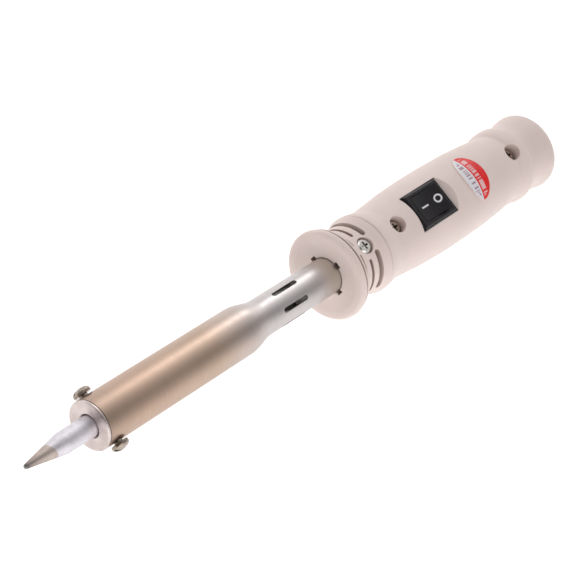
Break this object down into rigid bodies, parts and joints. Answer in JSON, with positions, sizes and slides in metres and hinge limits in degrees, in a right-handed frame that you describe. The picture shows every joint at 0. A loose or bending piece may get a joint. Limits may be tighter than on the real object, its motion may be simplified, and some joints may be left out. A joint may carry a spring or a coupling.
{
  "type": "soldering iron",
  "caption": "Electric soldering iron with a removable pointed tip, steel heater barrel, round finger guard, rocker switch and moulded two-part handle.",
  "frame": {"origin": "on the iron's axis, in the plane of the finger guard's flat front ring", "axes": "+X from the working tip towards the cord end, +Z out of the handle on the switch side, +Y to the user's right"},
  "size_m": [0.2691, 0.0336, 0.0336],
  "materials": {
    "tip_plating": "plated copper, tinned and heat-browned at the working end",
    "bush_steel": "turned and polished",
    "barrel_steel": "satin, straw to bronze heat tint fading to grey",
    "screw_steel": "nickel-plated",
    "inner_steel": "plain",
    "heater_wire": "oxidised resistance wire",
    "ceramic": "fired ceramic",
    "mica": "mica sheet",
    "woven_sleeve": "woven glass sleeving",
    "handle_plastic": "matt moulded, pale beige-pink",
    "switch_black": "satin black",
    "plunger_plastic": "natural nylon",
    "contact_brass": "plain",
    "label_film": "red and white printed film",
    "wire_black": "insulated wire",
    "wire_brown": "insulated wire",
    "wire_blue": "insulated wire",
    "wire_green": "insulated wire",
    "block_plastic": "moulded",
    "bushing_rubber": "moulded rubber"
  },
  "bodies": {
    "iron": {"nose_bush": "bush_steel", "barrel": "barrel_steel", "heater_tube": "inner_steel", "heater_core": "ceramic", "heater_winding": "heater_wire", "mica_wrap": "mica", "insulation_sleeve": "ceramic", "core_end_plug": "ceramic", "heater_leads": "heater_wire", "lead_sleeves": "woven_sleeve", "lead_spacers": "ceramic", "barrel_retainer": "inner_steel", "heat_washers": "mica", "front_guard": "handle_plastic", "guard_screws": "screw_steel", "handle_top": "handle_plastic", "handle_bottom": "handle_plastic", "handle_screws": "screw_steel", "switch_housing": "switch_black", "switch_terminals": "contact_brass", "push_on_connectors": "contact_brass", "rating_label": "label_film", "crimp_splices": "inner_steel", "wire_load": "wire_black", "wire_line": "wire_brown", "wire_neutral": "wire_blue", "wire_earth": "wire_green", "terminal_block": "block_plastic", "terminal_inserts": "contact_brass", "terminal_screws": "screw_steel", "cord_clamp": "inner_steel", "cord_clamp_screws": "screw_steel", "cord_bushing": "bushing_rubber"},
    "rocker": {"switch_rocker": "switch_black", "switch_plunger": "plunger_plastic", "switch_spring": "screw_steel"},
    "contact": {"switch_contact": "contact_brass"},
    "tip": {"tip": "tip_plating"},
    "tip_screw_left": {"tip_screw_left": "screw_steel"},
    "tip_screw_right": {"tip_screw_right": "screw_steel"}
  },
  "joints": [
    {"name": "rocker_tilt", "type": "hinge", "parent": "iron", "child": "rocker", "pos_m": [0.0498, 0, 0.0106], "axis": [0, 1, 0], "range_deg": [0, 20]},
    {"name": "contact_rock", "type": "hinge", "parent": "iron", "child": "contact", "pos_m": [0.0498, 0, 0.00365], "axis": [0, 1, 0], "range_deg": [-13.4, 0]},
    {"name": "tip_slide", "type": "slide", "parent": "iron", "child": "tip", "axis": [-1, 0, 0], "range_m": [0, 0.07]},
    {"name": "tip_screw_left_out", "type": "slide", "parent": "iron", "child": "tip_screw_left", "axis": [0, -1, 0], "range_m": [0, 0.0015]},
    {"name": "tip_screw_right_out", "type": "slide", "parent": "iron", "child": "tip_screw_right", "axis": [0, 1, 0], "range_m": [0, 0.0015]}
  ],
  "couplings": [
    {"joint": "contact_rock", "follows": "rocker_tilt", "ratio": -0.66667}
  ]
}
